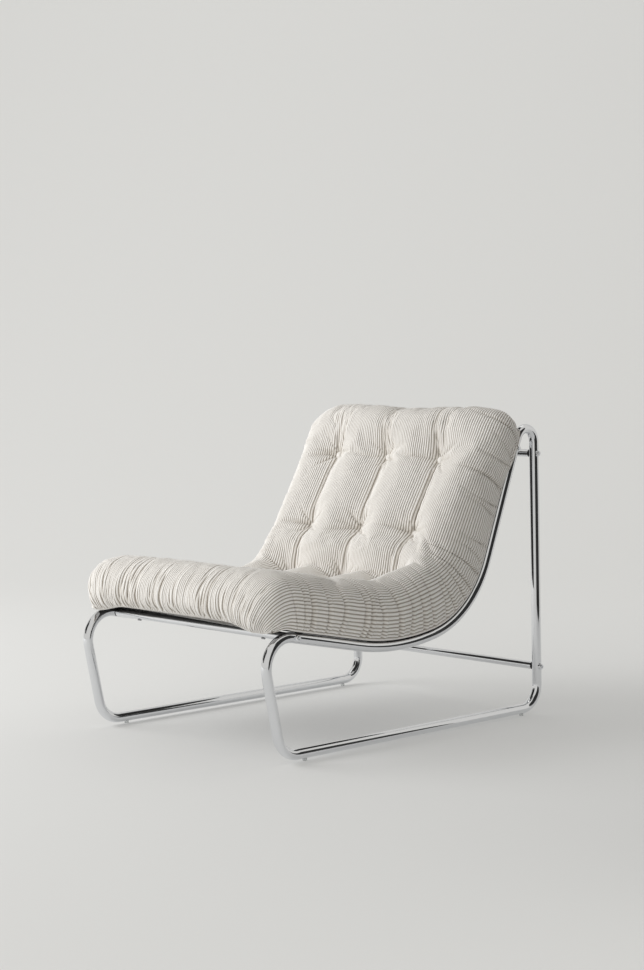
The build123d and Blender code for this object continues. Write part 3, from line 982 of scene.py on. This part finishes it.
# %% Build the fine surface
WALE_PITCH = 0.0050
WALE_HEIGHT = 0.0022
COLUMNS_PER_WALE = 6
FINE_ROWS = 420
UNEVEN = 0.0009
UNEVEN_GRID = (90, 52, 1)
wales = int(round(cover_width / WALE_PITCH))
fine_columns = wales * COLUMNS_PER_WALE + 1
cloth_c = np.linspace(-cover_width / 2, cover_width / 2, fine_columns)
cloth_t = np.linspace(0.0, cover_length, FINE_ROWS)


def spline_weights(fine, coarse):
    """Matrix that reads a fine row of points from a coarse one with cubic B-spline weights."""
    at = np.linspace(0.0, coarse - 1.0, fine)
    near = np.abs(at[:, None] - np.arange(-1, coarse + 1)[None, :])
    inner = 2.0 / 3.0 - near ** 2 + near ** 3 / 2.0
    outer = np.clip(2.0 - near, 0.0, None) ** 3 / 6.0
    weights = np.where(near < 1.0, inner, outer)
    weights[:, 1] += 2.0 * weights[:, 0]
    weights[:, 2] -= weights[:, 0]
    weights[:, -2] += 2.0 * weights[:, -1]
    weights[:, -3] -= weights[:, -1]
    return weights[:, 1:-1]


def refine(grid):
    """Fine grid of points read from a coarse one, by the weights of rows and columns."""
    down = spline_weights(FINE_ROWS, grid.shape[0])
    over = spline_weights(fine_columns, grid.shape[1])
    return np.einsum("ri,ijk,cj->rck", down, grid, over, optimize=True)


def grid_normals(points):
    """Unit normals of a grid, from the cross product of its steps along rows and columns."""
    along = np.gradient(points, axis=0)
    across = np.gradient(points, axis=1)
    normal = np.cross(across, along)
    return normal / np.maximum(np.linalg.norm(normal, axis=-1, keepdims=True), TINY)


fine = refine(settled)
relief, valley = fold_relief(cloth_c, cloth_t, np.concatenate(lines))
relief = relief[..., None] + refine(rng.normal(0.0, UNEVEN, UNEVEN_GRID))
from_hem = np.minimum.outer(np.minimum(cloth_t, cover_length - cloth_t), edge - np.abs(cloth_c))
fine = fine + grid_normals(fine) * relief * rise(from_hem, 0.0, HEM_CLEAR)[..., None]
ridge = WALE_HEIGHT * np.sqrt(np.abs(np.sin(math.pi * np.arange(fine_columns) / COLUMNS_PER_WALE)))
fine = fine + grid_normals(fine) * ridge[None, :, None]
print(wales, "wales,", FINE_ROWS * fine_columns, "points")

# %% [markdown]
# ## Closing the cover underneath
# The sheet is open below, where the real cushion has a base cloth. A flat underside of a few columns joins
# both hems, and one face of many corners closes each end, so the cover is one closed mesh.

# %% Close the cover
UNDER_COLUMNS = 5
LIP_WIDTH = 0.0012


def close_below(top, s, x):
    """Points, quads and end rims of the sheet and of a flat base that starts a lip inside the hems."""
    rows, columns = top.shape[:2]
    share = np.linspace(-1.0, 1.0, UNDER_COLUMNS)
    half = np.abs(x[:, :1]) - LIP_WIDTH
    under = place(half * share, s[:, :1], CUSHION_LOW)
    points = np.concatenate([top.reshape(-1, 3), under.reshape(-1, 3)])
    index = np.arange(rows * columns).reshape(rows, columns)
    below = rows * columns + np.arange(rows * UNDER_COLUMNS).reshape(rows, UNDER_COLUMNS)
    below = np.concatenate([index[:, -1:], below[:, ::-1], index[:, :1]], axis=1)
    quads = np.concatenate([quads_between(index), quads_between(below)])
    front = np.concatenate([index[0, ::-1], below[0, ::-1][1:-1]])
    back = np.concatenate([index[-1], below[-1][1:-1]])
    return points, quads, (front, back)


fine_x = refine(sheet_x[..., None])[..., 0]
fine_s = refine(sheet_s[..., None])[..., 0]
cover = mesh_object("corduroy_cover", *close_below(fine, fine_s, fine_x))
print("cover has", len(cover.data.polygons), "faces")

# %% [markdown]
# ## How the pile lies, and the painted shade
# The pile stands up on the ridges and thins out between them. Each point of the mesh stores its share of
# standing pile, which the finish reads later as colour, so the valleys between the ridges get painted shade.
# In a fold the pile is pressed flat, and the fold's valley is darkened further as painted shade.

# %% Store the pile and the painted shade
# Painted shade: FOLD_SHADE is how much darker the deepest folds are coloured, for pressed pile and shade
# together.
FOLD_SHADE = 0.5
FOLD_FULL = 0.008


def store_pile_and_shade(piece, shares):
    """Save one number for each point of a mesh under the name pile, which carries the pile share and the
    painted shade.
    """
    pile = piece.data.attributes.new("pile", "FLOAT", "POINT")
    pile.data.foreach_set("value", shares.astype(np.float32))


# Fold valleys darken the pile share: partly pressed pile, partly painted shade in the creases.
pressed_and_shaded = 1.0 - FOLD_SHADE * np.clip(valley / FOLD_FULL, 0.0, 1.0)
cover_pile_and_shade = np.ones(len(cover.data.vertices))
# Painted shade: the share falls to nothing in the valleys between the wales, and the colour ramp turns that
# into dark brown.
cover_pile_and_shade[:FINE_ROWS * fine_columns] = np.ravel((ridge / WALE_HEIGHT) ** 2 * pressed_and_shaded)
store_pile_and_shade(cover, cover_pile_and_shade)
print("pile stands at", round(float(cover_pile_and_shade.mean()), 3), "of its height on average")

# %% [markdown]
# ## Covered buttons
# Each tuft is held by a small button covered in the same corduroy. A button is a low dome: rings whose
# radius follows a sine and whose height follows a cosine. All fifteen are one mesh, and each dome is
# closed by a many-sided face at the top and one at the bottom.

# %% Build the buttons
BUTTON_R = 0.0085
BUTTON_DOME = 0.0060
BUTTON_SEAT = 0.0895
BUTTON_PILE = 0.72
TOP_RING_ANGLE = 0.05
RINGS = 9
SPOKES = 32


def button_points():
    """Domes at all tufts: an axis for the tufts, one for the rings from the rim up, one for the spokes."""
    turn = np.linspace(TOP_RING_ANGLE, math.pi / 2, RINGS)[::-1]
    spoke = np.arange(SPOKES) * math.tau / SPOKES
    x, s = (grid.reshape(-1, 1, 1) for grid in np.meshgrid(TUFT_COLUMNS, TUFT_ROWS))
    radius = BUTTON_R * np.sin(turn)[None, :, None]
    dome = BUTTON_DOME * np.cos(turn)[None, :, None]
    seat = BUTTON_SEAT + np.interp(s, TUFT_ROWS, TUFT_LIFTS)
    return place(x + radius * np.cos(spoke), s + radius * np.sin(spoke), seat + dome)


def button_faces(tufts):
    """Quads between the rings of each dome, and its two closing faces."""
    index = np.arange(tufts * RINGS * SPOKES).reshape(tufts, RINGS, SPOKES)
    after = np.roll(index, -1, axis=2)
    quads = [index[:, :-1], after[:, :-1], after[:, 1:], index[:, 1:]]
    rims = [*index[:, -1], *index[:, 0, ::-1]]
    return np.stack([corner.ravel() for corner in quads], axis=1), rims


domes = button_points()
buttons = mesh_object("covered_buttons", domes.reshape(-1, 3), *button_faces(len(domes)))
store_pile_and_shade(buttons, np.full(len(buttons.data.vertices), BUTTON_PILE))
print(len(domes), "buttons")

# %% [markdown]
# ## Corduroy
# Corduroy is a pile fabric with pale soft ridges. The colour follows the stored pile share, so the weave
# between the ridges and the folds get painted shade, with a soft mottle and a fine fuzz on top. A light
# sheen stands for the fibres that catch light at the edges.

# %% Corduroy finish
# Painted shade: the ramp runs from the ivory of the ridges through a darker slope to a deep brown, which
# paints the valleys between the wales and the folds.
CORDUROY_STOPS = ((0.0, (0.22, 0.18, 0.14)), (0.45, (0.71, 0.67, 0.615)), (0.88, (0.965, 0.95, 0.93)))
PILE_AND_SHADE_SHARE = 0.86
MOTTLE_SHARE = 0.10
FUZZ_SHARE = 0.04


def corduroy():
    """Off-white pile: soft mottled ivory, deep roughness, a light sheen and a fuzzy fine bump."""
    finish = Finish("ivory_corduroy", Sheen_Weight=0.25, Sheen_Roughness=0.5, Specular_IOR_Level=0.2)
    mottle = finish.noise(scale=22.0, detail=4.0)
    fuzz = finish.noise(scale=900.0, detail=3.0)
    # The stored pile share carries painted shade for the wale valleys and the folds.
    pile = finish.node("ShaderNodeAttribute", {"attribute_name": "pile"}, output="Fac")
    shade = PILE_AND_SHADE_SHARE * pile + MOTTLE_SHARE * mottle + FUZZ_SHARE * fuzz
    finish.drive(Base_Color=finish.ramp(shade, *CORDUROY_STOPS))
    finish.drive(Roughness=0.82 + 0.12 * fuzz)
    finish.drive(Normal=finish.bump(fuzz, distance=0.0005))
    return finish.material


fabric = corduroy()
for piece in (cover, buttons):
    piece.data.materials.append(fabric)
    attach(piece, "root")
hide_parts("cushion_cover", "foam_core", "tuft_twines")
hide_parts("tuft_buttons")
print("cover and buttons dressed")

# %% [markdown]
# ## Floor and backdrop
# The studio is a pale floor that sweeps up into a pale wall. In the photograph the floor is nearly white
# even in the shade, so the sweep glows a little by itself, which keeps the shadow soft and pale.

# %% The sweep
SWEEP_FRONT = -6.0
SWEEP_BEND = 2.6
SWEEP_R = 2.2
SWEEP_TOP = 7.0
SWEEP_HALF = 9.0
SWEEP_STEPS = 24
SWEEP_COLOUR = (0.46, 0.46, 0.452, 1.0)
GLOW_COLOUR = (1.0, 1.0, 0.985, 1.0)
SWEEP_GLOW = 0.275


def studio_sweep():
    """Floor, quarter circle and wall as one line of points, carried sideways and turned to the camera."""
    turn = np.linspace(0.0, math.pi / 2, SWEEP_STEPS)
    bend = np.stack([SWEEP_BEND + SWEEP_R * np.sin(turn), SWEEP_R * (1.0 - np.cos(turn))], axis=1)
    line = np.concatenate([[(SWEEP_FRONT, 0.0)], bend, [(SWEEP_BEND + SWEEP_R, SWEEP_TOP)]])
    width = np.array([-SWEEP_HALF, SWEEP_HALF])
    points = np.stack(np.broadcast_arrays(width, line[:, :1], line[:, 1:]), axis=-1)
    turned = np.array(Matrix.Rotation(CAMERA_YAW, 3, "Z").transposed())
    sweep = mesh_object("studio_sweep", points @ turned, grid_faces(len(line), 2))
    finish = Finish("pale_sweep", Base_Color=SWEEP_COLOUR, Roughness=0.85, Specular_IOR_Level=0.15,
                    Emission_Color=GLOW_COLOUR, Emission_Strength=SWEEP_GLOW)
    sweep.data.materials.append(finish.material)
    return sweep


print("sweep has", len(studio_sweep().data.polygons), "faces")

# %% [markdown]
# ## Black cards
# Chrome shows whatever stands round it. Photographers put black cards beside and above it, because the
# dark lines that they draw in a tube make it read as metal. One card stands at the near side, one
# hangs above, and one stands behind the key light.

# %% Cards out of the picture
FELT_BLACK = (0.012, 0.012, 0.012, 1.0)
SIDE_CARD = dict(corner=(1.65, -0.5, 0.0), first=(0.0, 2.1, 0.0), second=(0.0, 0.0, 2.0))
TOP_CARD = dict(corner=(-0.8, -1.1, 2.7), first=(1.7, 0.0, 0.0), second=(0.0, 1.8, 0.0))
KEY_CARD = dict(corner=(-4.4, -1.4, 1.0), first=(3.0, -3.0, 0.0), second=(0.0, 0.0, 2.9))


def black_flag(name, corner, first, second):
    """Black card hidden from the camera: a corner, plus shares of the two edges that leave it."""
    u, v = np.meshgrid([0.0, 1.0], [0.0, 1.0])
    points = np.array(corner) + u[..., None] * np.array(first) + v[..., None] * np.array(second)
    flag = mesh_object(name, points, grid_faces(2, 2))
    flag.data.materials.append(Finish("black_felt", Base_Color=FELT_BLACK).material)
    flag.visible_camera = False
    return flag


black_flag("side_flag", **SIDE_CARD)
black_flag("top_flag", **TOP_CARD)
black_flag("key_flag", **KEY_CARD).visible_diffuse = False
print("three black cards set")

# %% [markdown]
# ## Light
# One large soft light on the left of the picture is the key. A weak one washes the wall behind the chair,
# and a faintly warm world fills the rest. The chrome doesn't mirror the key, so that it shows the dark card
# there and no white square.

# %% Key, wall and world
KEY_LIGHT = dict(stand=(-2.5, -2.5, 2.1), aim=(0.0, 0.0, 0.3), size=(2.4, 2.4), power=103.0,
                 colour=(0.985, 0.99, 1.0))
WALL_LIGHT = dict(stand=(-0.85, 0.84, 3.6), aim=(-3.4, 3.4, 1.2), size=(3.0, 1.6), power=14.0,
                  colour=(1.0, 1.0, 1.0))
WORLD_COLOUR = (1.0, 0.985, 0.945, 1.0)
WORLD_STRENGTH = 0.70


def area_light(name, stand, aim, size, power, colour):
    """Rectangular area light at its stand, turned to face its aim."""
    data = bpy.data.lights.new(name, "AREA")
    data.shape = "RECTANGLE"
    data.size, data.size_y = size
    data.energy = power
    data.color = colour
    light = bpy.data.objects.new(name, data)
    facing = (Vector(aim) - Vector(stand)).to_track_quat("-Z", "Y").to_matrix().to_4x4()
    light.matrix_world = Matrix.Translation(stand) @ facing
    bpy.context.collection.objects.link(light)
    return light


area_light("key", **KEY_LIGHT).visible_glossy = False
area_light("wall", **WALL_LIGHT)
world = bpy.data.worlds.new("studio")
world.use_nodes = True
background = world.node_tree.nodes["Background"]
background.inputs["Color"].default_value = WORLD_COLOUR
background.inputs["Strength"].default_value = WORLD_STRENGTH
bpy.context.scene.world = world
print("studio lit")
